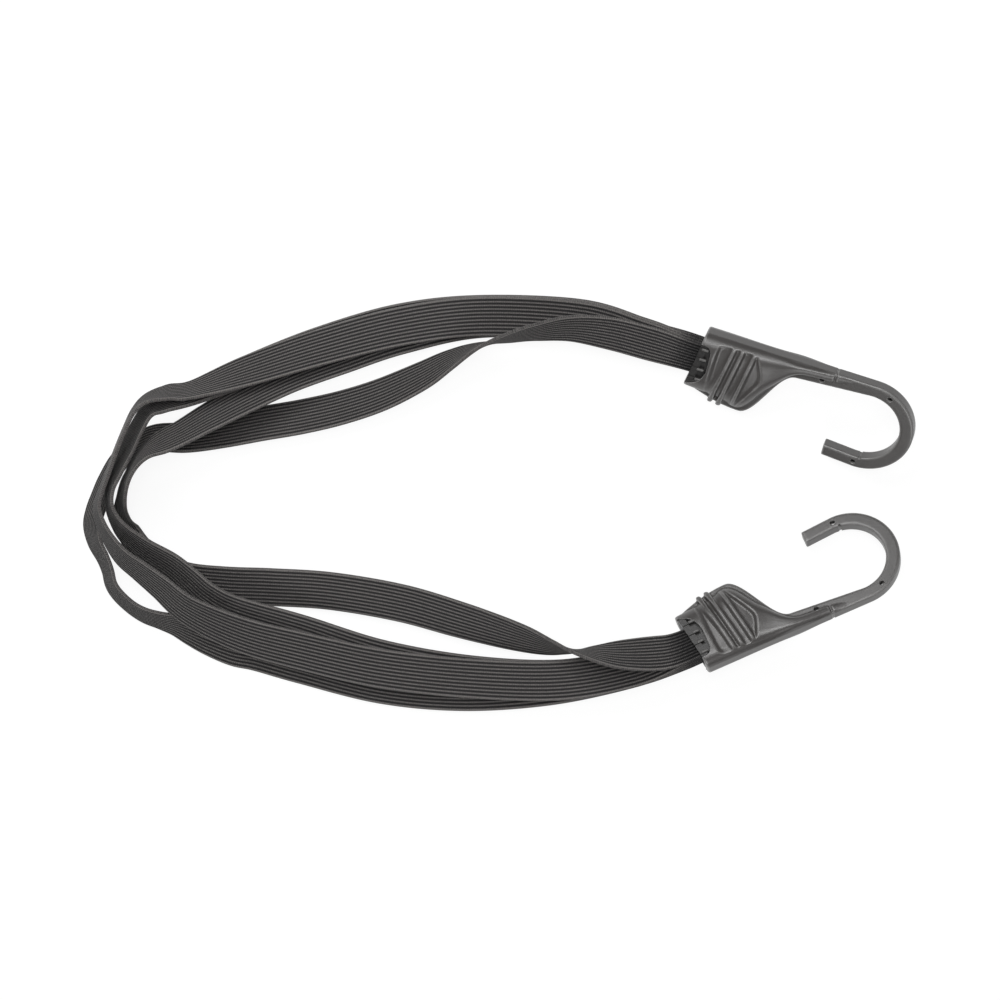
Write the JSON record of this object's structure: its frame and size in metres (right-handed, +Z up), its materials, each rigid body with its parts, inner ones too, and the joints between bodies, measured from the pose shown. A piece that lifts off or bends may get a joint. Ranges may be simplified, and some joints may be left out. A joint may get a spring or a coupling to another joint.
{
  "type": "flat bungee cord",
  "caption": "Flat elastic bungee cord: woven rubber bands side by side, gathered into a moulded steel-cored hook at each end to strap down a load.",
  "frame": {"origin": "on the ground, under the middle of the two hooks", "axes": "+Z up; +X from the bend of the bands towards the hooks; hook_a on the +Y side"},
  "size_m": [0.3753, 0.1887, 0.0361],
  "materials": {
    "hook_plastic": "fine satin moulded nylon",
    "clamp_plastic": "moulded nylon",
    "core_steel": "drawn wire",
    "elastic_webbing": "ribbed woven cover over rubber threads"
  },
  "bodies": {
    "bands": {"elastic_band_1": "elastic_webbing", "elastic_band_2": "elastic_webbing", "elastic_band_3": "elastic_webbing", "elastic_band_4": "elastic_webbing"},
    "hook_a": {"hook_a_body": "hook_plastic", "hook_a_steel_core": "core_steel", "hook_a_clamp_front": "clamp_plastic", "hook_a_clamp_back": "clamp_plastic"},
    "hook_b": {"hook_b_body": "hook_plastic", "hook_b_steel_core": "core_steel", "hook_b_clamp_front": "clamp_plastic", "hook_b_clamp_back": "clamp_plastic"}
  },
  "joints": [
    {"name": "hook_a_stretch", "type": "slide", "parent": "bands", "child": "hook_a", "axis": [1, 0, 0], "range_m": [0, 0.2], "stiffness_N_per_m": 500, "deforming": ["elastic_band_1", "elastic_band_2", "elastic_band_3", "elastic_band_4"]},
    {"name": "hook_b_stretch", "type": "slide", "parent": "bands", "child": "hook_b", "axis": [1, 0, 0], "range_m": [0, 0.2], "stiffness_N_per_m": 500, "deforming": ["elastic_band_1", "elastic_band_2", "elastic_band_3", "elastic_band_4"]}
  ]
}
